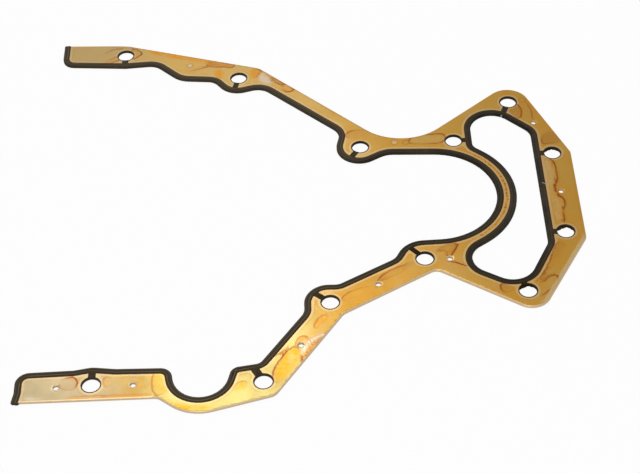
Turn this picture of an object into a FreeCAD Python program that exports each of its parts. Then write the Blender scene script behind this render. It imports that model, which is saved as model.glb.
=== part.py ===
import FreeCAD, Part
import math
import os

# Edge-moulded gasket: one blanked sheet carrier with two moulded rubber seals on its edges.
# Millimetres. The origin is the arch centre on the engine block face, +Z points away from the block,
# +X points to the crescent window and +Y to the upper leg.

os.makedirs("parts", exist_ok=True)

# Sheet carrier.
SHEET_THICK = 1.5
EDGE_INSET = 2.3
TOOLING_R = 1.4

# Rubber section, measured across the strip from its free edge and up from the sheet's middle plane.
# The width is where its flank meets the sheet's face. The root is the part of the flank the sheet cuts off.
SEAL_WIDTH = 3.65
SEAL_HEIGHT = 2.5
SEAL_EDGE_HEIGHT = 1.3
CREST_SETBACK = 1.6
ROOT_DEPTH = 0.05

# Liner rings in the bolt holes, and the flat runners that join them to a seal.
BOLT_HOLE_R = 4.5
RING_WALL = 0.6
RUNNER_THICK = 0.25

# The half-round arch, and the bare strip of sheet between its seal and the one round the crescent window.
# A horn run is the straight that joins the window's inner arc to the corner at either end.
ARCH_R = 33.45
WINDOW_STRIP = 3.25
HORN_RUN = 0.2

MID_Z = SEAL_HEIGHT / 2
SHEET_Z = MID_Z - SHEET_THICK / 2
RING_R = BOLT_HOLE_R + RING_WALL
WINDOW_INNER_R = ARCH_R + 2 * SEAL_WIDTH + WINDOW_STRIP

# Bolt holes: centre, runner direction in degrees, runner width and the runner's length from the centre.
CRANKCASE_BOLTS = [
    (-176.1, 128.7, -90, 3.6, 8.6),
    (-108.1, 104.1, -103, 3.0, 10.4),
    (-39.0, 40.5, -122, 3.0, 10.6),
    (-8.2, -ARCH_R - 13.55, 132, 2.7, 11.4),
    (-57.9, -75.3, 141, 3.0, 11.1),
    (-91.3, -125.5, 119, 4.0, 10.4),
    (-175.4, -124.1, 90, 3.7, 9.1),
]
GALLERY_BOLTS = [
    (13.2, 43.0, 0, 3.0, 8.3),
    (46.6, 74.0, -112, 3.2, 10.7),
    (66.7, 30.1, 180, 3.4, 8.3),
    (66.7, -30.8, 180, 3.4, 8.1),
    (42.7, -71.9, 108, 3.2, 7.2),
]

# Small through holes that located the blank.
TOOLING_HOLES = [
    (59.2, 56.0), (68.0, -0.2), (4.7, -47.5), (-33.0, -63.8),
    (-72.9, -102.9), (-154.9, -124.8), (-192.5, -125.0),
]

# Outlines are belts round pegs: centre and radius. The path keeps the metal on its left. It passes a peg
# with a positive radius in a left turn and one with a negative radius in a right turn.
UPPER_END_X = -213.6
UPPER_END_Y = 139.6
LOWER_END_X = -213.6
LOWER_END_Y = -133.5

FREE_EDGE = [
    (UPPER_END_X, UPPER_END_Y, 0),
    (-206.1, 127.9, 7.3),
    (-175.6, 128.9, 10.8),
    (-161.4, 109.6, -9.4),
    (-136.3, 118.9, 14.8),
    (-126.7, 95.4, -7.6),
    (-108.2, 104.6, 12.7),
    (-97.3, 84.2, -9.9),
    (-59.6, 50.4, -8.9),
    (-39.3, 41.1, 12.9),
    (-21.6, 22.0, -12.5),
    (0, 0, -ARCH_R),
    (-8.1, -ARCH_R - 15.2, 14.9),
    (-29.7, -ARCH_R - 7.0, -8.1),
    (-55.2, -56.2, -7.0),
    (-58.8, -75.5, 12.4),
    (-79.3, -79.2, -8.2),
    (-95.9, -109.6, -4.8),
    (-102.8, -120.7, 5.1),
    (-122.1, -120.1, -13.8),
    (-142.2, -121.1, 6.2),
    (-163.5, -107.0, -7.5),
    (-175.6, -125.1, 12.0),
    (-185.5, -106.9, -7.7),
    (-206.1, -122.0, 6.9),
    (-222.5, -127.4, -9.7),
    (LOWER_END_X, LOWER_END_Y, 0),
]

OUTER_EDGE = [
    (LOWER_END_X + EDGE_INSET, LOWER_END_Y, 0),
    (-144.1, -137.8, -4.8),
    (-121.7, -119.8, 23.2),
    (-89.3, -128.7, 6.1),
    (-47.0, -87.5, -6.1),
    (-2.9, -60.3, -4.9),
    (44.1, -72.3, 10.5),
    (72.7, -34.4, 4.3),
    (72.0, 29.5, 4.9),
    (46.3, 72.9, 12.1),
    (-14.5, 77.0, -30.3),
    (-99.4, 107.3, 6.0),
    (-176.7, 128.7, 9.2),
    (UPPER_END_X + EDGE_INSET, UPPER_END_Y, 0),
]


def horn(direction, radius):
    """Peg of a window corner that ends the window's inner arc, seen from the arch centre in degrees."""
    distance = WINDOW_INNER_R + radius + HORN_RUN
    angle = math.radians(direction)
    return (distance * math.cos(angle), distance * math.sin(angle), -radius)


WINDOW_EDGE = [
    (48.3, -36.6, -8.4),
    (36.4, -51.6, -12.3),
    horn(-60.4, 10.8),
    (0, 0, WINDOW_INNER_R),
    horn(54.7, 5.1),
    (35.5, 51.9, -12.2),
    (47.7, 44.7, -8.8),
]


def shifted(pegs, distance):
    """The same belt moved to its left, into the metal."""
    return [(x, y, r - distance) for x, y, r in pegs]


def tangent(first, second):
    """Left normal and end points of the straight run from one peg to the next."""
    dx, dy = second[0] - first[0], second[1] - first[1]
    length = math.hypot(dx, dy)
    side = (second[2] - first[2]) / length
    ahead = math.sqrt(1 - side * side)
    nx = (side * dx - ahead * dy) / length
    ny = (side * dy + ahead * dx) / length
    start = FreeCAD.Vector(first[0] - first[2] * nx, first[1] - first[2] * ny, 0)
    end = FreeCAD.Vector(second[0] - second[2] * nx, second[1] - second[2] * ny, 0)
    return FreeCAD.Vector(nx, ny, 0), start, end


def belt(pegs, closed):
    """Runs of the belt in order: start, end, left normal at the start, arc centre or None, turn in degrees."""
    pairs = list(zip(pegs, pegs[1:]))
    if closed:
        pairs.append((pegs[-1], pegs[0]))
    lines = [tangent(a, b) for a, b in pairs]
    runs = []
    for i, (normal, start, end) in enumerate(lines):
        runs.append((start, end, normal, None, 0))
        if i == len(lines) - 1 and not closed:
            break
        following = lines[(i + 1) % len(lines)]
        x, y, r = pegs[(i + 1) % len(pegs)]
        if r == 0:
            continue
        turn = math.degrees(math.atan2(following[0].y, following[0].x) - math.atan2(normal.y, normal.x))
        turn = turn % 360 if r > 0 else turn % 360 - 360
        runs.append((end, following[1], normal, FreeCAD.Vector(x, y, 0), turn))
    return runs


def edges(runs):
    """Line and arc edges of a belt."""
    made = []
    for start, end, normal, centre, turn in runs:
        if centre is None:
            made.append(Part.makeLine(start, end))
            continue
        turned = FreeCAD.Rotation(FreeCAD.Vector(0, 0, 1), turn / 2)
        middle = centre + turned.multVec(start - centre)
        made.append(Part.Arc(start, middle, end).toShape())
    return made


def blank(runs, z, height):
    """Flat blank inside a closed belt."""
    outline = Part.Wire(edges(runs))
    blank_shape = Part.Face(outline).extrude(FreeCAD.Vector(0, 0, height))
    blank_shape.translate(FreeCAD.Vector(0, 0, z))
    return blank_shape


def section(start, normal):
    """Closed rubber section standing across the belt at one point."""
    crest_z = SEAL_HEIGHT / 2
    flank = (SEAL_WIDTH - CREST_SETBACK) / (crest_z - SHEET_THICK / 2)
    upper = [
        (0, SEAL_EDGE_HEIGHT / 2),
        (CREST_SETBACK, crest_z),
        (SEAL_WIDTH + flank * ROOT_DEPTH, SHEET_THICK / 2 - ROOT_DEPTH),
    ]
    lower = [(u, -z) for u, z in reversed(upper)]
    corners = [start + normal * u + FreeCAD.Vector(0, 0, MID_Z + z) for u, z in upper + lower]
    return Part.makePolygon(corners + corners[:1])


def strip(runs, closed):
    """Rubber strip along a belt: straight runs pulled out, arcs turned, sewn into one solid."""
    faces = []
    for start, end, normal, centre, turn in runs:
        across = section(start, normal)
        if centre is None:
            faces += across.extrude(end - start).Faces
        else:
            faces += across.revolve(centre, FreeCAD.Vector(0, 0, 1), turn).Faces
    if not closed:
        last_normal = runs[-1][2]
        faces.append(Part.Face(section(runs[0][0], runs[0][2])))
        faces.append(Part.Face(section(runs[-1][1], last_normal)))
    shell = Part.makeShell(faces)
    shell.sewShape()
    return Part.makeSolid(shell)


def drum(x, y, radius, low, high):
    """Upright cylinder between two levels."""
    return Part.makeCylinder(radius, high - low, FreeCAD.Vector(x, y, low))


def liners(bolts):
    """Ring slugs and runners of a seal; the sheet and the bolt holes are cut out of them later."""
    slugs = []
    for x, y, direction, width, reach in bolts:
        slugs.append(drum(x, y, RING_R, SHEET_Z, SHEET_Z + SHEET_THICK))
        runner = Part.makeBox(reach, width, SHEET_THICK / 2 + RUNNER_THICK)
        runner.translate(FreeCAD.Vector(0, -width / 2, MID_Z))
        runner.rotate(FreeCAD.Vector(0, 0, 0), FreeCAD.Vector(0, 0, 1), direction)
        runner.translate(FreeCAD.Vector(x, y, 0))
        slugs.append(runner)
    return slugs


def bores(bolts):
    """Bolt holes through the liner rings."""
    return [drum(b[0], b[1], BOLT_HOLE_R, -1, SEAL_HEIGHT + 1) for b in bolts]


# Carrier: blanked outline with its window, bolt holes and tooling holes.
sheet_pegs = shifted(FREE_EDGE[1:-1], EDGE_INSET) + OUTER_EDGE
sheet = blank(belt(sheet_pegs, True), SHEET_Z, SHEET_THICK)
window = blank(belt(shifted(WINDOW_EDGE, EDGE_INSET), True), SHEET_Z - 1, SHEET_THICK + 2)
holes = [drum(b[0], b[1], RING_R, 0, SEAL_HEIGHT) for b in CRANKCASE_BOLTS + GALLERY_BOLTS]
holes += [drum(x, y, TOOLING_R, 0, SEAL_HEIGHT) for x, y in TOOLING_HOLES]
carrier = sheet.cut([window] + holes)

# Long seal on the crankcase and arch edge, with seven liner rings.
long_strip = strip(belt(FREE_EDGE, False), False)
crankcase_seal = long_strip.fuse(liners(CRANKCASE_BOLTS)).cut([carrier] + bores(CRANKCASE_BOLTS))

# Closed seal round the crescent window, with five liner rings.
window_strip = strip(belt(WINDOW_EDGE, True), True)
gallery_seal = window_strip.fuse(liners(GALLERY_BOLTS)).cut([carrier] + bores(GALLERY_BOLTS))

for name, shape in (
    ("carrier_plate", carrier),
    ("crankcase_seal", crankcase_seal),
    ("gallery_seal", gallery_seal),
):
    print(name, shape.isValid(), len(shape.Solids), round(shape.Volume, 2), len(shape.Faces), shape.BoundBox)
    shape.exportStep("parts/" + name + ".step")
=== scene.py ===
import bpy
import bmesh
import math
from mathutils import Matrix, Vector
from mathutils.bvhtree import BVHTree


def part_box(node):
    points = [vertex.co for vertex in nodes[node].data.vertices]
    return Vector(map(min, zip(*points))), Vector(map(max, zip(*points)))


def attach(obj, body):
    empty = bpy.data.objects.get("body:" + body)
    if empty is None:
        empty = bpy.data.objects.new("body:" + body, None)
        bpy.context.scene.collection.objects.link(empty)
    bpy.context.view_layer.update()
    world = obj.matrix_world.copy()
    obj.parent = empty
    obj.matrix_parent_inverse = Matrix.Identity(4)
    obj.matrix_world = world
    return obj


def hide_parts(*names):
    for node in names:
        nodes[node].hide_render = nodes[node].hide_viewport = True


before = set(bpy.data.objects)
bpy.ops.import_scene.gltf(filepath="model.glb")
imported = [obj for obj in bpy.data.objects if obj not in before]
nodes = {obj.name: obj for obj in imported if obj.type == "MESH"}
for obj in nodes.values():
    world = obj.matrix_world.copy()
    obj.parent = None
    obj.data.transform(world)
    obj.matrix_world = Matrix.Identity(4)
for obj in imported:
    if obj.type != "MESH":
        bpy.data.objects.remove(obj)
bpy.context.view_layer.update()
bpy.ops.object.select_all(action="DESELECT")


# Carrier plate: thin steel sheet blanked to the outline of the cover's joint face. Bolt holes, tooling holes
# and the crescent window are punched out, and a thin gold lacquer is baked on. The rubber is moulded onto it.
MM = 0.001
SHEET_TOP = 2.0 * MM
RIM_ROLL = 0.45 * MM
BARE_FROM_RUBBER = 0.8 * MM
GRID = 1.25 * MM
SAME_LEVEL = 0.01 * MM
MERGE_WITHIN = 0.002 * MM
FLAT_WITHIN = math.radians(0.2)
SHEET_SMOOTHING = math.radians(32)
WALL_SLOPE = 0.5
SHEARED_SLOPE = 0.3


def copy_of(node, name):
    """A merged copy of a CAD node's mesh, with the facets of its flat places joined."""
    bpy.ops.object.select_all(action="DESELECT")
    nodes[node].select_set(True)
    bpy.context.view_layer.objects.active = nodes[node]
    bpy.ops.object.duplicate()
    piece = bpy.context.active_object
    piece.name = name
    piece.data.name = name
    piece.data.materials.clear()
    bpy.ops.object.mode_set(mode="EDIT")
    bpy.ops.mesh.select_all(action="SELECT")
    bpy.ops.mesh.remove_doubles(threshold=MERGE_WITHIN)
    bpy.ops.mesh.dissolve_limited(angle_limit=FLAT_WITHIN)
    bpy.ops.object.mode_set(mode="OBJECT")
    return piece


def pick_edges(mesh, chosen):
    """Selects the edges that pass the test, in edit mode."""
    bpy.ops.mesh.select_mode(type="EDGE")
    bpy.ops.mesh.select_all(action="DESELECT")
    edit_mesh = bmesh.from_edit_mesh(mesh)
    for edge in edit_mesh.edges:
        edge.select_set(chosen(edge))
    bmesh.update_edit_mesh(mesh)


def surface_of(node_names):
    """Search tree over the facets of CAD nodes."""
    corners, facets = [], []
    for name in node_names:
        mesh = nodes[name].data
        first = len(corners)
        corners += [vert.co.copy() for vert in mesh.vertices]
        facets += [[first + i for i in face.vertices] for face in mesh.polygons]
    return BVHTree.FromPolygons(corners, facets)


def write_gap(mesh, name, gap_of):
    """Stores a distance in millimetres on every point of a mesh."""
    gaps = mesh.attributes.new(name=name, type="FLOAT", domain="POINT")
    for vert in mesh.vertices:
        gaps.data[vert.index].value = gap_of(vert.co) / MM


rubber = surface_of(["crankcase_seal", "gallery_seal"])
plate = copy_of("carrier_plate", "carrier_sheet")


def on_bare_rim(edge):
    """Top edge of a wall that no rubber covers."""
    if any(abs(vert.co.z - SHEET_TOP) > SAME_LEVEL for vert in edge.verts):
        return False
    if min(face.normal.z for face in edge.link_faces) > WALL_SLOPE:
        return False
    return all(rubber.find_nearest(vert.co)[3] > BARE_FROM_RUBBER for vert in edge.verts)


# The bare upper rims are rolled over, as the press leaves them.
bpy.ops.object.mode_set(mode="EDIT")
pick_edges(plate.data, on_bare_rim)
bpy.ops.mesh.bevel(offset=RIM_ROLL, segments=3, profile=0.5, affect="EDGES")
bpy.ops.object.mode_set(mode="OBJECT")

# The sheet is cut into a fine grid, whose points carry the distances that the lacquer needs.
bpy.ops.object.select_all(action="DESELECT")
plate.select_set(True)
bpy.context.view_layer.objects.active = plate
bpy.ops.object.mode_set(mode="EDIT")
lowest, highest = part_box("carrier_plate")
for axis in (0, 1):
    normal = Vector((1 - axis, axis, 0))
    for step in range(1, int((highest[axis] - lowest[axis]) / GRID)):
        bpy.ops.mesh.select_all(action="SELECT")
        bpy.ops.mesh.bisect(plane_co=normal * (lowest[axis] + step * GRID), plane_no=normal)
bpy.ops.object.mode_set(mode="OBJECT")
bpy.ops.object.shade_smooth_by_angle(angle=SHEET_SMOOTHING)

cad_sheet = nodes["carrier_plate"].data
wall_points = [vert.co.copy() for vert in cad_sheet.vertices]
walls = [
    list(face.vertices)
    for face in cad_sheet.polygons
    if abs(face.normal.z) < WALL_SLOPE and rubber.find_nearest(face.center)[3] > BARE_FROM_RUBBER
]
rim = BVHTree.FromPolygons(wall_points, walls)
write_gap(plate.data, "rubber_gap", lambda co: rubber.find_nearest(co)[3])
write_gap(plate.data, "rim_gap", lambda co: rim.find_nearest(co)[3])
sheared = plate.data.attributes.new(name="sheared", type="FLOAT", domain="FACE")
for face in plate.data.polygons:
    sheared.data[face.index].value = abs(face.normal.z) < SHEARED_SLOPE

# Lacquer: the gold coat on the steel. It is clear and pale at the leg ends, ochre on the lobe and bright
# yellow on the lower leg, a yellow that is partly thick lacquer and partly painted glare, with a pale band
# where the mould closed beside the rubber, and dried-on stains.
LACQUER_OCHRE = (0.57, 0.315, 0.045)
LACQUER_TAN = (0.65, 0.41, 0.115)
LACQUER_SAND = (0.48, 0.31, 0.085)
LACQUER_CLEAR = (0.53, 0.365, 0.135)
LACQUER_THIN = (0.45, 0.36, 0.20)
PAINTED_GLARE_PALE = (0.60, 0.52, 0.17)
YELLOW_LACQUER_AND_GLARE = (0.66, 0.36, 0.006)
MOULD_BAND = (0.68, 0.50, 0.25)
OLIVE = (0.52, 0.40, 0.14)
ORANGE = (0.72, 0.30, 0.012)
RED_ORANGE = (0.60, 0.22, 0.012)
BROWN = (0.40, 0.17, 0.02)
ORANGE_BROWN = (0.52, 0.21, 0.012)
DARK_BROWN = (0.20, 0.06, 0.012)
DRIED_INK = (0.31, 0.058, 0.002)
DEEP_OCHRE = (0.60, 0.27, 0.015)
CHALK = (0.66, 0.58, 0.46)
SHEARED_STEEL = (0.74, 0.55, 0.36)
PAINTED_RIM_HIGHLIGHT = (0.92, 0.70, 0.38)

lacquer = bpy.data.materials.new("gold_lacquer")
lacquer.use_nodes = True
tree = lacquer.node_tree
shader = tree.nodes["Principled BSDF"]
place = tree.nodes.new("ShaderNodeTexCoord").outputs["Object"]


def feed(socket, value):
    """Links an output into a socket, or sets a plain value on it."""
    if isinstance(value, bpy.types.NodeSocket):
        tree.links.new(value, socket)
    elif isinstance(value, tuple) and len(value) == 3 and socket.type == "RGBA":
        socket.default_value = (*value, 1)
    else:
        socket.default_value = value


def sum_of(kind, first, second=0.0, third=0.0):
    """One Math node: the sum, product or other result of up to three values."""
    node = tree.nodes.new("ShaderNodeMath")
    node.operation = kind
    for socket, value in zip(node.inputs, (first, second, third)):
        feed(socket, value)
    return node.outputs[0]


def both(first, second):
    """Where two patterns are both strong: their product."""
    return sum_of("MULTIPLY", first, second)


def off(value, line):
    """How far a value is from a line, to either side."""
    return sum_of("ABSOLUTE", sum_of("SUBTRACT", value, line))


def wavy(value, pattern, amount):
    """A value that wavers with a noise pattern, so that its edges run unevenly."""
    return sum_of("MULTIPLY_ADD", pattern, amount, value)


def ramp(value, low, high, start=0.0, end=1.0):
    """Smooth step of a value, from start at the first limit to end at the second."""
    node = tree.nodes.new("ShaderNodeMapRange")
    node.interpolation_type = "SMOOTHSTEP"
    for socket, number in zip(node.inputs, (value, low, high, start, end)):
        feed(socket, number)
    return node.outputs[0]


def noise(scale, detail=3.0, roughness=0.5, offset=0.0):
    """Noise over the part; the scale counts features in a metre, and the offset picks another pattern."""
    shift = tree.nodes.new("ShaderNodeMapping")
    shift.inputs["Location"].default_value = (offset, offset * 0.7, offset * 0.3)
    feed(shift.inputs["Vector"], place)
    node = tree.nodes.new("ShaderNodeTexNoise")
    feed(node.inputs["Vector"], shift.outputs[0])
    feed(node.inputs["Scale"], scale)
    feed(node.inputs["Detail"], detail)
    feed(node.inputs["Roughness"], roughness)
    return node.outputs["Fac"]


def swing(scale, detail, roughness, offset=0.0):
    """Noise that goes as far below zero as above it."""
    return sum_of("SUBTRACT", noise(scale, detail, roughness, offset), 0.5)


def mixed(amount, below, above, how="MIX"):
    """One colour laid over another."""
    node = tree.nodes.new("ShaderNodeMix")
    node.data_type = "RGBA"
    node.blend_type = how
    feed(node.inputs["Factor"], amount)
    feed(node.inputs["A"], below)
    feed(node.inputs["B"], above)
    return node.outputs["Result"]


def within(x, y, length, width, turn):
    """Distance from a spot's middle, 1 on the rim of an ellipse given in millimetres and degrees."""
    spot = tree.nodes.new("ShaderNodeMapping")
    spot.vector_type = "TEXTURE"
    spot.inputs["Location"].default_value = (x * MM, y * MM, 0)
    spot.inputs["Rotation"].default_value = (0, 0, math.radians(turn))
    spot.inputs["Scale"].default_value = (length * MM, width * MM, 1)
    feed(spot.inputs["Vector"], place)
    reach = tree.nodes.new("ShaderNodeVectorMath")
    reach.operation = "LENGTH"
    feed(reach.inputs[0], spot.outputs[0])
    return reach.outputs["Value"]


def attribute(name):
    """A value stored on the mesh, such as a distance."""
    node = tree.nodes.new("ShaderNodeAttribute")
    node.attribute_name = name
    return node.outputs["Fac"]


wander = swing(70, 4.0, 0.6)
wobble = swing(170, 5.0, 0.62, 6.1)
ripple = swing(420, 3.0, 0.6, 3.1)
cloud = noise(34, 4.0, 0.62, 7.7)
patchy = ramp(noise(120, 3.0, 0.5, 9.3), 0.38, 0.60)
separate = tree.nodes.new("ShaderNodeSeparateXYZ")
feed(separate.inputs[0], place)
along, across = separate.outputs["X"], separate.outputs["Y"]

# The coat's own colour changes slowly from the lobe to the leg ends. The fades are places along or across
# the part. The pale glows on the lower leg are a painted glare highlight where the back lamp shines; each is
# an ellipse's middle, half length, half width, turn and strength.
LOWER_HALF = (0.02, -0.02)
UPPER_LEG = (-0.015, -0.085)
LOWER_LEG = (-0.050, -0.085)
LEG_ENDS = (-0.150, -0.180)
BELLY_START = (-0.070, -0.090)
BELLY_END = (-0.156, -0.146)
LOBE = (-0.075, -0.035)
PAINTED_GLARE_SPOTS = [
    (-118, -137, 36, 20, 0, 1.0),
    (-84, -114, 34, 13, 53, 0.9),
]
GLOW_FADE = (1.25, 0.35)
GLOW_WAVE = 1.3
LEG_WAVE = 0.04
UPPER_LEG_WAVE = 0.06

drifting = wavy(along, wander, LEG_WAVE)
lower_half = ramp(across, *LOWER_HALF)
upper_half = sum_of("SUBTRACT", 1.0, lower_half)
tan = ramp(wavy(along, wander, UPPER_LEG_WAVE), *UPPER_LEG)
coat = mixed(both(tan, upper_half), LACQUER_OCHRE, LACQUER_TAN)
sandy = ramp(drifting, *LOWER_LEG)
coat = mixed(both(sandy, lower_half), coat, LACQUER_SAND)
coat = mixed(ramp(drifting, *LEG_ENDS), coat, mixed(lower_half, LACQUER_CLEAR, LACQUER_THIN))
# Painted glare: pale spots of painted highlight on the lower leg.
for x, y, length, width, turn, strength in PAINTED_GLARE_SPOTS:
    glow = wavy(within(x, y, length, width, turn), wander, GLOW_WAVE)
    coat = mixed(ramp(glow, *GLOW_FADE, 0.0, strength), coat, PAINTED_GLARE_PALE)
coat = mixed(ramp(cloud, 0.42, 0.75, 0.0, 0.35), coat, mixed(0.6, coat, BROWN))
# Bright yellow patches on the lower leg: partly thick lacquer, partly a painted highlight of the back lamp's
# glare.
gold = both(ramp(noise(60, 4.0, 0.6, 21.3), 0.50, 0.62, 0.0, 0.75), lower_half)
belly = both(ramp(along, *BELLY_START), ramp(along, *BELLY_END))
coat = mixed(both(gold, belly), coat, YELLOW_LACQUER_AND_GLARE)
rich = ramp(noise(46, 4.0, 0.6, 13.1), 0.44, 0.62, 0.0, 0.55)
coat = mixed(both(rich, ramp(along, *LOBE)), coat, DEEP_OCHRE)
coat = mixed(ramp(cloud, 0.50, 0.28, 0.0, 0.20), coat, MOULD_BAND)

# Pale band of bare-looking lacquer beside every bead and ring, where the mould pressed on the sheet, with
# a broken brown line on its outer edge. Distances are in millimetres.
BAND_FADE = (1.7, 0.8)
BAND_WAVE = 0.9
BAND_STRENGTH = 0.50
BAND_LINE = 1.5
BAND_LINE_FADE = (0.5, 0.1)
BAND_LINE_STRENGTH = 0.30
band_edge = wavy(attribute("rubber_gap"), wobble, BAND_WAVE)
coat = mixed(ramp(band_edge, *BAND_FADE, 0.0, BAND_STRENGTH), coat, MOULD_BAND)
edge_line = off(band_edge, BAND_LINE)
edge_line = ramp(edge_line, *BAND_LINE_FADE, 0.0, BAND_LINE_STRENGTH)
coat = mixed(both(edge_line, patchy), coat, BROWN)
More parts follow.
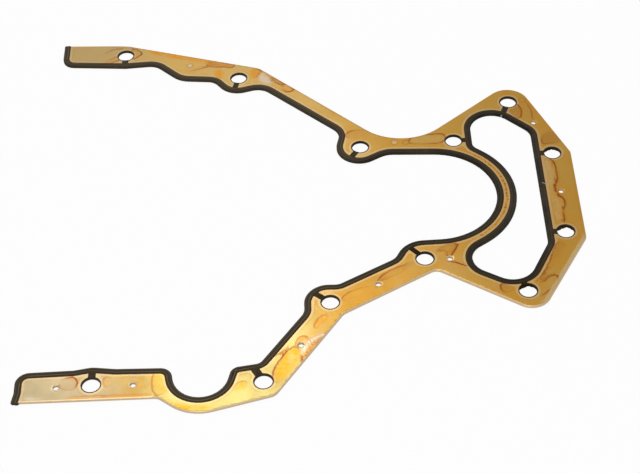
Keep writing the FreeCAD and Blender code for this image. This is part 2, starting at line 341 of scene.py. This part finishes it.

# Dried stains on the upper face, placed to the nearest millimetre, among them yellow patches on the lower leg
# that are partly painted glare, and one patch of painted shade: colour, strength of the fill, whether the
# outline is closed, and its points, each with the strength of the brown line that dried there.
STAINS_SHADE_AND_GLARE = [
    (BROWN, 0, False, [(-188, 132, 0.2), (-184, 135, 0.5), (-179, 136, 0.4)]),
    (ORANGE, 0.4, True, [(-187, 122, 0.2), (-183, 123, 0.5), (-179, 125, 0.5), (-181, 129, 0.6),
        (-185, 126, 0.2), (-189, 123, 0.1)]),
    (ORANGE, 0.3, True, [(-171, 131, 0.1), (-172, 125, 0.5), (-169, 127, 0.6), (-166, 130, 0.7),
        (-169, 134, 0.6), (-174, 136, 0.5)]),
    (ORANGE, 1, True, [(-162, 130, 0), (-153, 126, 0), (-137, 121, 0), (-124, 118, 0), (-123, 121, 0),
        (-132, 124, 0), (-150, 130, 0), (-164, 134, 0)]),
    (RED_ORANGE, 0.85, True, [(-125, 115, 0.6), (-118, 115, 0.6), (-113, 114, 0.7), (-110, 116, 0.5),
        (-118, 119, 0.2), (-124, 121, 0.3), (-128, 118, 0.3)]),
    (BROWN, 0, False, [(-137, 112, 0.2), (-133, 113, 0.5), (-128, 115, 0.6)]),
    (ORANGE, 0.95, True, [(-122, 106, 0.1), (-120, 103, 0.2), (-117, 106, 0), (-117, 111, 0),
        (-120, 113, 0.1), (-123, 111, 0)]),
    (ORANGE, 1, True, [(-99, 103, 0.1), (-97, 106, 0.5), (-94, 110, 0.7), (-98, 112, 0.2),
        (-101, 111, 0.1), (-102, 105, 0)]),
    (CHALK, 0.75, True, [(-97, 104, 0), (-96, 100, 0), (-91, 97, 0), (-87, 98, 0.1), (-90, 104, 0.2),
        (-93, 109, 0.1), (-96, 108, 0.1)]),
    (DARK_BROWN, 0.6, True, [(-89, 101, 0.5), (-86, 99, 0.6), (-83, 96, 0.7), (-80, 97, 0.7),
        (-83, 99, 0.3), (-86, 102, 0.3), (-89, 104, 0.4)]),
    (ORANGE, 0.55, True, [(-83, 92, 0.1), (-80, 90, 0.8), (-78, 90, 0.9), (-75, 92, 0.9),
        (-79, 95, 0.1), (-84, 95, 0)]),
    (BROWN, 0.25, True, [(-43, 48, 0.1), (-34, 50, 0), (-32, 54, 0.1), (-40, 55, 0.3), (-45, 54, 0.6),
        (-48, 49, 0.4)]),
    (OLIVE, 0.35, True, [(-11, 42, 0.4), (-7, 41, 0.2), (-1, 41, 0.4), (5, 41, 0.6), (8, 43, 0.6),
        (9, 46, 0.6), (8, 49, 0.7), (4, 49, 0.7), (-3, 49, 0.6), (-10, 48, 0.7), (-12, 44, 0.5)]),
    (BROWN, 0.5, True, [(47, 64, 0.1), (49, 62, 0.1), (52, 59, 0.6), (54, 67, 0.8), (52, 72, 0.6),
        (50, 72, 0.2), (46, 68, 0.1)]),
    (BROWN, 0.5, True, [(62, 37, 0.6), (66, 38, 0.6), (70, 38, 0.1), (74, 39, 0.1), (71, 46, 0.1),
        (66, 48, 0.1), (62, 43, 0.2)]),
    (BROWN, 0, False, [(56, 74, 0.1), (58, 70, 0.3), (59, 65, 0.5), (59, 59, 0.4)]),
    # Painted shade: a brown patch inside the lower right rim; the brown line along its inner edge is a real
    # dried line.
    (BROWN, 0.32, True, [(58, -46, 0.6), (55, -55, 0.7), (48, -66, 0.5), (52, -64, 0), (57, -56, 0),
        (63, -47, 0), (66, -40, 0), (61, -38, 0.4)]),
    (BROWN, 0, False, [(48, -66, 0.5), (51, -67, 0.7), (54, -63, 0.8), (58, -62, 0.9), (59, -64, 0.8),
        (58, -69, 0.7), (54, -72, 0.6), (50, -75, 0.4)]),
    (BROWN, 0.35, True, [(29, -72, 0.6), (32, -73, 0.1), (36, -71, 0.1), (34, -68, 0.1), (29, -66, 0.7)]),
    (BROWN, 0.65, True, [(0, -42, 0.4), (4, -42, 0.3), (3, -45, 0.4), (5, -47, 1), (8, -41, 1),
        (10, -37, 0.7), (4, -37, 0.2), (0, -40, 0.2), (-3, -43, 0.2)]),
    (BROWN, 0, False, [(5, -50, 0.7), (8, -51, 1), (12, -53, 0.9)]),
    (BROWN, 0.45, True, [(-30, -61, 0.3), (-24, -58, 0.1), (-17, -54, 0), (-13, -50, 0),
        (-16, -49, 0.2), (-21, -52, 0.5), (-27, -55, 0.7), (-32, -59, 0.7), (-34, -63, 0.5)]),
    (ORANGE, 0.4, True, [(-51, -75, 0.1), (-47, -72, 0), (-40, -68, 0), (-37, -65, 0.1),
        (-45, -67, 0.3), (-51, -71, 0.5), (-53, -75, 0.3)]),
    (ORANGE, 0.65, True, [(-65, -93, 0.2), (-63, -90, 0.1), (-59, -85, 0.1), (-61, -83, 0.3),
        (-65, -87, 0.5), (-67, -92, 0.3)]),
    (ORANGE, 0.75, True, [(-75, -104, 0.3), (-72, -104, 0.3), (-70, -101, 0.5), (-69, -99, 0.5),
        (-70, -97, 0.5), (-74, -98, 0.6), (-76, -102, 0.4)]),
    (CHALK, 0.9, True, [(-67, -98, 0.2), (-71, -101, 0.1), (-73, -106, 0.1), (-73, -110, 0.1),
        (-71, -109, 0.2), (-69, -104, 0.2), (-65, -100, 0.2), (-60, -97, 0.2), (-61, -95, 0.2)]),
    (RED_ORANGE, 0.8, True, [(-65, -101, 0.4), (-68, -103, 0.5), (-70, -107, 0.5), (-72, -110, 0.5),
        (-73, -112, 0.6), (-72, -114, 0.7), (-69, -111, 0.8), (-67, -107, 0.8), (-63, -101, 0.7),
        (-60, -98, 0.6)]),
    (YELLOW_LACQUER_AND_GLARE, 1, True, [(-86, -127, 0.2), (-82, -125, 0), (-78, -120, 0), (-74, -114, 0),
        (-73, -109, 0.2), (-74, -105, 0.3), (-77, -104, 0.7), (-81, -108, 0.8), (-85, -115, 0.8),
        (-87, -121, 0.6)]),
    (BROWN, 0, False, [(-86, -110, 0.5), (-83, -108, 0.5), (-80, -105, 0.4)]),
    (YELLOW_LACQUER_AND_GLARE, 0.9, True, [(-104, -132, 0), (-100, -130, 0), (-99, -126, 0.1), (-101, -124, 0.4),
        (-105, -127, 0.2), (-107, -131, 0)]),
    (YELLOW_LACQUER_AND_GLARE, 0.7, True, [(-145, -132, 0.5), (-138, -131, 0), (-138, -125, 0), (-141, -118, 0),
        (-146, -118, 0.5)]),
    (YELLOW_LACQUER_AND_GLARE, 0.95, True, [(-136, -138, 0), (-129, -143, 0), (-120, -143, 0), (-114, -140, 0),
        (-116, -139, 0), (-126, -139, 0), (-135, -136, 0), (-140, -132, 0)]),
    (BROWN, 0.15, True, [(-190, -126, 0.3), (-186, -127, 0.2), (-183, -126, 0.3), (-182, -122, 0.9),
        (-184, -119, 0.8), (-188, -119, 0.5), (-191, -121, 0), (-192, -124, 0)]),
    (ORANGE, 0.25, True, [(-169, -126, 0.3), (-165, -125, 0), (-165, -121, 0), (-168, -119, 0.3),
        (-170, -121, 0.5)]),
    (ORANGE, 0.65, True, [(-186, -133, 0), (-176, -133, 0), (-161, -133, 0), (-146, -133, 0),
        (-146, -131, 0.2), (-161, -131, 0.2), (-175, -131, 0.4), (-187, -131, 0.1)]),
    (CHALK, 0.6, True, [(-209, -133, 0), (-198, -133, 0), (-199, -131, 0), (-209, -130, 0)]),
    (BROWN, 0, False, [(63, 27, 0.2), (66, 24, 0.8), (67, 19, 0.9), (67, 14, 1), (67, 8, 1),
        (65, 4, 1), (65, 1, 0.9), (66, -3, 1), (69, -7, 1), (69, -11, 0.9), (67, -15, 0.9),
        (67, -19, 0.9), (67, -23, 0.8)]),
    (MOULD_BAND, 0.4, True, [(61, -1, 0), (62, -23, 0), (66, -23, 0), (66, -19, 0), (67, -12, 0),
        (67, -8, 0), (65, -4, 0), (64, 3, 0), (65, 7, 0), (66, 13, 0), (65, 20, 0), (64, 26, 0),
        (60, 24, 0)]),
]

STAIN_MARGIN = 4
NO_LINE_NEAR = 9.0
INK_REACH = 2.6
INK_FADE = 1.2
FILL_REACH = 0.5
FILL_FADE = 1.8


def clamped(share):
    """The share kept between 0 and 1."""
    return min(max(share, 0), 1)


def rounded(outline, closed):
    """The outline with its corners cut once."""
    following = outline[1:] + (outline[:1] if closed else [])
    cut = [] if closed else [outline[0]]
    for first, second in zip(outline, following):
        for share in (0.25, 0.75):
            cut.append(tuple(a + share * (b - a) for a, b in zip(first, second)))
    return cut if closed else cut + [outline[-1]]


def from_outline(outline, closed, x, y):
    """Distance to an outline, below zero on its inner side, and the ink at the nearest place."""
    nearest, ink, left, crossings = math.inf, 0.0, False, 0
    following = outline[1:] + (outline[:1] if closed else [])
    for (x0, y0, ink0), (x1, y1, ink1) in zip(outline, following):
        dx, dy = x1 - x0, y1 - y0
        part = clamped(((x - x0) * dx + (y - y0) * dy) / (dx * dx + dy * dy))
        away = math.hypot(x - x0 - part * dx, y - y0 - part * dy)
        if away < nearest:
            nearest, ink, left = away, ink0 + part * (ink1 - ink0), dx * (y - y0) > dy * (x - x0)
        if (y0 > y) != (y1 > y) and x < x0 + (y - y0) / dy * dx:
            crossings += 1
    inner = crossings % 2 == 1 if closed else left
    return (-nearest if inner else nearest), ink


for name, kind in (("line_gap", "FLOAT"), ("line_ink", "FLOAT"), ("stain_shade_glare_tint", "FLOAT_COLOR")):
    plate.data.attributes.new(name=name, type=kind, domain="POINT")
stored = plate.data.attributes
outlines = []
for colour, fill, closed, points in STAINS_SHADE_AND_GLARE:
    points = rounded(points, closed)
    xs, ys = [p[0] for p in points], [p[1] for p in points]
    west, east = min(xs) - STAIN_MARGIN, max(xs) + STAIN_MARGIN
    south, north = min(ys) - STAIN_MARGIN, max(ys) + STAIN_MARGIN
    outlines.append((colour, fill, closed, points, west, east, south, north))
for vert in plate.data.vertices:
    x, y = vert.co.x / MM, vert.co.y / MM
    gap, ink, tint = NO_LINE_NEAR, 0.0, [0.0, 0.0, 0.0, 0.0]
    if vert.co.z > SHEET_TOP - RIM_ROLL:
        for colour, fill, closed, points, west, east, south, north in outlines:
            if not (west < x < east and south < y < north):
                continue
            away, depth = from_outline(points, closed, x, y)
            if abs(away) < abs(gap):
                gap, ink = away, depth * clamped((INK_REACH - abs(away)) / INK_FADE)
            cover = fill * clamped((FILL_REACH - away) / FILL_FADE)
            tint = [t * (1 - cover) + c * cover for t, c in zip(tint, (*colour, 1))]
    stored["line_gap"].data[vert.index].value = gap
    stored["line_ink"].data[vert.index].value = ink
    stored["stain_shade_glare_tint"].data[vert.index].color = tint

# The fill of a stain, and of the painted shade and glare among them, is uneven. Its brown line wavers, and
# has a soft orange halo on its inner side.
LINE_FADE = (0.78, 0.20)
LINE_WAVE = 1.6
LINE_RIPPLE = 0.9
HALO_RISE = (-2.8, -0.1)
HALO_FALL = (0.5, 0.0)
HALO_STRENGTH = 0.55
tint_node = tree.nodes.new("ShaderNodeAttribute")
tint_node.attribute_name = "stain_shade_glare_tint"
thick = ramp(wobble, -0.16, 0.06, 0.35, 1.0)
coat = mixed(both(tint_node.outputs["Alpha"], thick), coat, (0, 0, 0))
coat = mixed(thick, coat, tint_node.outputs["Color"], "ADD")
line_at = wavy(attribute("line_gap"), wobble, LINE_WAVE)
line_at = wavy(line_at, ripple, LINE_RIPPLE)
ink = attribute("line_ink")
halo = both(ramp(line_at, *HALO_RISE, 0.0, HALO_STRENGTH), ramp(line_at, *HALO_FALL))
coat = mixed(both(halo, ink), coat, ORANGE_BROWN)
uneven_ink = both(ink, ramp(patchy, 0.0, 1.0, 0.9, 1.3))
dried = ramp(sum_of("ABSOLUTE", line_at), *LINE_FADE)
coat = mixed(both(dried, sum_of("MINIMUM", uneven_ink, 1.0)), coat, DRIED_INK)

# Marks of the mould's support pins: a pale round with a thin brown line, or a dark ring. Each is given by its
# place and radius in millimetres, the strength of the pale round and that of the line.
PIN_MARKS = [
    (-137.3, 117.3, 1.7, 0.6, 0.5),
    (-19.8, 43.3, 1.8, 0.4, 0.6),
    (-13.5, 43.0, 1.7, 0.0, 0.9),
    (54.7, 75.2, 2.0, 0.0, 0.6),
]
PIN_RIPPLE = 0.5
PIN_FADE = (0.95, 0.65)
PIN_LINE_FADE = (0.28, 0.08)
for x, y, radius, fill, line in PIN_MARKS:
    pin = wavy(within(x, y, radius, radius, 0), ripple, PIN_RIPPLE)
    coat = mixed(ramp(pin, *PIN_FADE, 0.0, fill), coat, CHALK)
    coat = mixed(ramp(off(pin, 1.0), *PIN_LINE_FADE, 0.0, line), coat, BROWN)

# A heat-tinted streak with dark spots follows the narrow strip between the arch and the window.
STREAK_R = 38.7 * MM
STREAK_FADE = (0.9 * MM, 0.2 * MM)
STREAK_WAVE = 2.2 * MM
STREAK_START = (14 * MM, 26 * MM)
STREAK_STRENGTH = 0.85
from_arch = tree.nodes.new("ShaderNodeVectorMath")
from_arch.operation = "LENGTH"
flat_place = tree.nodes.new("ShaderNodeCombineXYZ")
feed(flat_place.inputs["X"], along)
feed(flat_place.inputs["Y"], across)
feed(from_arch.inputs[0], flat_place.outputs[0])
streak = wavy(from_arch.outputs["Value"], ripple, STREAK_WAVE)
streak = off(streak, STREAK_R)
streak = ramp(streak, *STREAK_FADE, 0.0, STREAK_STRENGTH)
streak = both(streak, ramp(along, *STREAK_START))
coat = mixed(streak, coat, DEEP_OCHRE)
spots = ramp(noise(900, 2.0, 0.6, 8.2), 0.50, 0.62)
coat = mixed(both(streak, spots), coat, DRIED_INK)

# The lacquer is browned along the far rims, and the near rims carry a pale painted highlight, where the lower
# right rim also has a broad pale band of painted reflected light. Rim distances are in millimetres. The
# sheared walls are steel with a thin coat.
FAR_SIDE = (-0.048, -0.028)
BROWNED_FADE = (1.2, 0.2)
BROWNED_WAVE = 1.4
BROWNED_STRENGTH = 0.45
RIM_HIGHLIGHT_FADE = (0.75, 0.35)
RIM_HIGHLIGHT_STRENGTH = 0.75
BROAD_FADE = (2.5, 1.7)
BROAD_WAVE = 2.2
BROAD_STRENGTH = 0.75
BROAD_START = (0.046, 0.052)
BROAD_BELOW = (-0.030, -0.038)
from_rim = attribute("rim_gap")
far_rim = ramp(across, *FAR_SIDE)
near_rim = sum_of("SUBTRACT", 1.0, far_rim)
browned = ramp(wavy(from_rim, wander, BROWNED_WAVE), *BROWNED_FADE, 0.0, BROWNED_STRENGTH)
coat = mixed(both(browned, far_rim), coat, ORANGE)
# Painted highlight: a pale cream line along the near rims, where the rolled edge catches the front light.
painted_rim_highlight = ramp(from_rim, *RIM_HIGHLIGHT_FADE, 0.0, RIM_HIGHLIGHT_STRENGTH)
coat = mixed(both(painted_rim_highlight, near_rim), coat, PAINTED_RIM_HIGHLIGHT)
# Painted reflected light: a broad pale band inside the lower right rim.
broad = ramp(wavy(from_rim, wobble, BROAD_WAVE), *BROAD_FADE, 0.0, BROAD_STRENGTH)
broad = both(broad, ramp(along, *BROAD_START))
coat = mixed(both(broad, ramp(across, *BROAD_BELOW)), coat, MOULD_BAND)
coat = mixed(attribute("sheared"), coat, SHEARED_STEEL)
grain = noise(2600, 2.0, 0.6, 5.0)
coat = mixed(ramp(grain, 0.3, 0.75, 0.0, 0.10), coat, BROWN)

COAT_METALLIC = 0.7
WALL_METALLIC = 0.2
COAT_ROUGHNESS = (0.29, 0.37)
BUMP_DISTANCE = 0.03 * MM
COAT_BUMP = 0.12
feed(shader.inputs["Base Color"], coat)
bareness = WALL_METALLIC - COAT_METALLIC
feed(shader.inputs["Metallic"], sum_of("MULTIPLY_ADD", attribute("sheared"), bareness, COAT_METALLIC))
feed(shader.inputs["Roughness"], ramp(cloud, 0.25, 0.75, *COAT_ROUGHNESS))
bump = tree.nodes.new("ShaderNodeBump")
feed(bump.inputs["Strength"], COAT_BUMP)
feed(bump.inputs["Distance"], BUMP_DISTANCE)
feed(bump.inputs["Height"], wavy(grain, noise(420, 3.0, 0.6, 2.0), 1.6))
feed(shader.inputs["Normal"], bump.outputs[0])
plate.data.materials.append(lacquer)
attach(plate, "root")
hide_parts("carrier_plate")


# Crankcase seal and gallery seal: black rubber moulded onto the sheet's edges, with the liner rings and
# runners in the same shots. Each bead has two rounded crests and a shallow groove on both faces.
SEAL_TOP = 2.5 * MM
CREST_LEVELS = ((SEAL_TOP, -1), (0.0, 1))
CREST_SPREAD = 0.8 * MM
GROOVE_DEPTH = 0.34 * MM
CREST_ROUND = 0.26 * MM
RUBBER_SMOOTHING = math.radians(40)


def shape_crests(piece, level, inward):
    """Splits the single crest line at a level into two rounded crests with a groove between them."""
    mesh = piece.data

    def at_level(edge):
        return all(abs(vert.co.z - level) < SAME_LEVEL for vert in edge.verts)

    pick_edges(mesh, at_level)
    bpy.ops.mesh.bevel(offset=CREST_SPREAD, segments=2, profile=1.0, affect="EDGES")
    edit_mesh = bmesh.from_edit_mesh(mesh)
    for vert in edit_mesh.verts:
        if vert.select:
            on_old_crest = abs(vert.co.z - level) < SAME_LEVEL
            vert.co.z = level + inward * GROOVE_DEPTH if on_old_crest else level
    bmesh.update_edit_mesh(mesh)
    pick_edges(mesh, at_level)
    bpy.ops.mesh.bevel(offset=CREST_ROUND, segments=3, profile=0.5, affect="EDGES")
    edit_mesh = bmesh.from_edit_mesh(mesh)
    for vert in edit_mesh.verts:
        if inward * (vert.co.z - level) < 0:
            vert.co.z = level
    bmesh.update_edit_mesh(mesh)


sheet = surface_of(["carrier_plate"])
seals = []
for node in ("crankcase_seal", "gallery_seal"):
    seal = copy_of(node, node + "_rubber")
    bpy.ops.object.mode_set(mode="EDIT")
    for level, inward in CREST_LEVELS:
        shape_crests(seal, level, inward)
    bpy.ops.object.mode_set(mode="OBJECT")
    bpy.ops.object.shade_smooth_by_angle(angle=RUBBER_SMOOTHING)
    write_gap(seal.data, "sheet_gap", lambda co: sheet.find_nearest(co)[3])
    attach(seal, "root")
    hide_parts(node)
    seals.append(seal)

# Rubber: satin black with a dusty bloom, lighter on the legs, with a painted highlight along the tops of the
# crests on the legs, browner beside the sheet, and with two small nicks, each an ellipse's middle, half
# length, half width and turn.
RUBBER_BLACK = (0.010, 0.008, 0.004)
RUBBER_BLOOM = (0.050, 0.040, 0.026)
RUBBER_LEG = (0.056, 0.040, 0.022)
RUBBER_CREST_HIGHLIGHT = (0.20, 0.16, 0.10)
RUBBER_BROWN = (0.050, 0.025, 0.010)
NICK_GREY = (0.42, 0.38, 0.30)
SHINE_TINT = (1.0, 0.84, 0.62, 1.0)
LEG_FADE = (-0.02, -0.08)
CREST_LINE = (2.36 * MM, 2.49 * MM)
CREST_ON_LEGS = (0.02, -0.06, 0.12, 0.70)
RUBBER_ROUGHNESS = (0.42, 0.60)
RUBBER_SHINE = 0.2
RUBBER_BUMP = 0.2
NICKS = [
    (59.4, 5.8, 1.5, 0.35, -20),
    (41.5, 62.4, 0.9, 0.4, 30),
]

black_rubber = bpy.data.materials.new("black_rubber")
black_rubber.use_nodes = True
tree = black_rubber.node_tree
shader = tree.nodes["Principled BSDF"]
place = tree.nodes.new("ShaderNodeTexCoord").outputs["Object"]
separate = tree.nodes.new("ShaderNodeSeparateXYZ")
feed(separate.inputs[0], place)
along, height = separate.outputs["X"], separate.outputs["Z"]
bloom = noise(55, 4.0, 0.65, 4.4)
speck = noise(1900, 3.0, 0.7, 0.9)
body = mixed(ramp(bloom, 0.35, 0.75, 0.0, 0.8), RUBBER_BLACK, RUBBER_BLOOM)
body = mixed(ramp(speck, 0.62, 0.78, 0.0, 0.35), body, RUBBER_BLOOM)
body = mixed(ramp(attribute("sheet_gap"), 0.7, 0.05, 0.0, 0.6), body, RUBBER_BROWN)
body = mixed(ramp(along, *LEG_FADE, 0.0, 0.55), body, RUBBER_LEG)
# Painted highlight along the tops of the crests, stronger on the legs.
crest = both(ramp(height, *CREST_LINE), ramp(along, *CREST_ON_LEGS))
body = mixed(crest, body, RUBBER_CREST_HIGHLIGHT)
for x, y, length, width, turn in NICKS:
    body = mixed(ramp(within(x, y, length, width, turn), 1.0, 0.6, 0.0, 0.9), body, NICK_GREY)
feed(shader.inputs["Base Color"], body)
feed(shader.inputs["Specular IOR Level"], RUBBER_SHINE)
feed(shader.inputs["Specular Tint"], SHINE_TINT)
feed(shader.inputs["Roughness"], ramp(bloom, 0.3, 0.7, *RUBBER_ROUGHNESS))
bump = tree.nodes.new("ShaderNodeBump")
feed(bump.inputs["Strength"], RUBBER_BUMP)
feed(bump.inputs["Distance"], BUMP_DISTANCE)
feed(bump.inputs["Height"], speck)
feed(shader.inputs["Normal"], bump.outputs[0])
for seal in seals:
    seal.data.materials.append(black_rubber)


# Flash: thin ragged films of the same rubber, squeezed out of the mould's joint at the far lower rim of the
# three liner rings beside the window, and left on when the gasket was trimmed. Each film is rooted in its
# ring, and is given by the ring's middle and the depths of its ragged edge, all in millimetres.
RING_BORE_R = 4.5 * MM
FLASH_ROOT = 0.1 * MM
FLASH_LEVEL = 0.73 * MM
FLASH_THICK = 0.23 * MM
ROUND_STEPS = 26
FLASH_FILMS = [
    (66.7, 30.1, (0.05, 0.5, 0.8, 0.6, 0.9, 0.3, 0.7, 0.5, 0.6, 0.2, 0.05)),
    (66.7, -30.8, (0.05, 0.9, 1.2, 1.0, 1.3, 0.9, 0.3, 0.5, 0.4, 0.6, 0.05)),
    (42.7, -71.9, (0.05, 0.6, 0.9, 1.2, 1.0, 0.6, 0.4, 0.7, 0.3, 0.2, 0.05)),
]
step_angle = math.tau / ROUND_STEPS
films = []
for x, y, depths in FLASH_FILMS:
    middle_step = len(depths) // 2
    bpy.ops.object.select_all(action="DESELECT")
    bpy.ops.mesh.primitive_circle_add(
        vertices=ROUND_STEPS, radius=RING_BORE_R + FLASH_ROOT, location=(x * MM, y * MM, FLASH_LEVEL)
    )
    film = bpy.context.active_object
    bpy.ops.object.mode_set(mode="EDIT")
    edit_mesh = bmesh.from_edit_mesh(film.data)
    reach = (middle_step + 0.5) * step_angle
    for vert in edit_mesh.verts:
        vert.select_set(abs(math.atan2(vert.co.x, vert.co.y)) > reach)
    edit_mesh.select_flush_mode()
    bmesh.update_edit_mesh(film.data)
    bpy.ops.mesh.delete(type="VERT")
    bpy.ops.mesh.select_all(action="SELECT")
    bpy.ops.mesh.extrude_edges_move()
    edit_mesh = bmesh.from_edit_mesh(film.data)
    for vert in edit_mesh.verts:
        if vert.select:
            place_in_row = round(math.atan2(vert.co.x, vert.co.y) / step_angle) + middle_step
            vert.co *= (RING_BORE_R - depths[place_in_row] * MM) / vert.co.length
    bmesh.update_edit_mesh(film.data)
    bpy.ops.object.mode_set(mode="OBJECT")
    thickness = film.modifiers.new("thickness", "SOLIDIFY")
    thickness.thickness = FLASH_THICK
    thickness.offset = 0
    bpy.ops.object.modifier_apply(modifier="thickness")
    bpy.ops.object.transform_apply(location=True, rotation=False, scale=False)
    films.append(film)
for film in films:
    film.select_set(True)
bpy.ops.object.join()
flash = bpy.context.active_object
flash.name = "ring_flash"
flash.data.name = "ring_flash"
bpy.ops.object.mode_set(mode="EDIT")
bpy.ops.mesh.select_all(action="SELECT")
bpy.ops.mesh.normals_make_consistent(inside=False)
bpy.ops.object.mode_set(mode="OBJECT")
flash.data.materials.append(black_rubber)
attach(flash, "root")


# Floor: a plain white sheet that the part lies on. It keeps a light shadow, and the camera sees the rest of
# it nearly pure white.
FLOOR_SIZE = 6
FLOOR_LEVEL = -0.1 * MM
FLOOR_WHITE = (0.82, 0.82, 0.82)
SEEN_WHITE = 0.95
bpy.ops.mesh.primitive_plane_add(size=FLOOR_SIZE, location=(0, 0, FLOOR_LEVEL))
floor = bpy.context.active_object
floor.name = "floor"
paper = bpy.data.materials.new("white_floor")
paper.use_nodes = True
tree = paper.node_tree
shader = tree.nodes["Principled BSDF"]
feed(shader.inputs["Base Color"], FLOOR_WHITE)
feed(shader.inputs["Roughness"], 0.9)
feed(shader.inputs["Specular IOR Level"], 0.0)
glow = tree.nodes.new("ShaderNodeEmission")
blend = tree.nodes.new("ShaderNodeMixShader")
seen = tree.nodes.new("ShaderNodeLightPath").outputs["Is Camera Ray"]
feed(blend.inputs["Fac"], sum_of("MULTIPLY", seen, SEEN_WHITE))
tree.links.new(shader.outputs[0], blend.inputs[1])
tree.links.new(glow.outputs[0], blend.inputs[2])
tree.links.new(blend.outputs[0], tree.nodes["Material Output"].inputs["Surface"])
floor.data.materials.append(paper)


# Studio light: an even white surround, a broad soft lamp behind the part and another in front of it, beside
# the camera. A lamp is given by its name, place, size, power and the place that it points at.
SURROUND_LIGHT = 0.62
SURROUND_SEEN = 1.0
LAMPS = [
    ("back_lamp", (-0.21, 0.58, 0.84), 0.4, 1.5, (-0.11, -0.12, 0.0)),
    ("front_lamp", (-0.25, -0.95, 0.75), 0.5, 3.0, (-0.05, 0.0, 0.0)),
]
world = bpy.data.worlds.new("studio")
bpy.context.scene.world = world
world.use_nodes = True
tree = world.node_tree
surround = tree.nodes["Background"]
surround.inputs["Color"].default_value = (1, 1, 1, 1)
seen = tree.nodes.new("ShaderNodeLightPath").outputs["Is Camera Ray"]
feed(surround.inputs["Strength"], ramp(seen, 0.0, 1.0, SURROUND_LIGHT, SURROUND_SEEN))
for name, spot, size, power, aim in LAMPS:
    bpy.ops.object.light_add(type="AREA", location=spot)
    lamp = bpy.context.active_object
    lamp.name = name
    lamp.data.energy = power
    lamp.data.size = size
    lamp.rotation_euler = (Vector(aim) - Vector(spot)).to_track_quat("-Z", "Y").to_euler()


# Camera: in front of the lower leg, looking down at the part at about 45 degrees. Its place and its turns
# were solved so that all the bolt holes come out round and equal.
CAMERA_PLACE = (-0.04991, -0.62038, 0.60328)
CAMERA_HEADING = math.radians(1.21)
CAMERA_DOWN = math.radians(45.44)
CAMERA_ROLL = math.radians(-2.90)
LENS = 90
SENSOR = 36
camera_data = bpy.data.cameras.new("photo_camera")
camera = bpy.data.objects.new("photo_camera", camera_data)
bpy.context.scene.collection.objects.link(camera)
camera_data.sensor_width = SENSOR
camera_data.lens = LENS
camera.matrix_world = (
    Matrix.Translation(CAMERA_PLACE)
    @ Matrix.Rotation(CAMERA_HEADING, 4, "Z")
    @ Matrix.Rotation(math.radians(90) - CAMERA_DOWN, 4, "X")
    @ Matrix.Rotation(CAMERA_ROLL, 4, "Z")
)
bpy.context.scene.camera = camera
bpy.context.scene.view_settings.view_transform = "Standard"
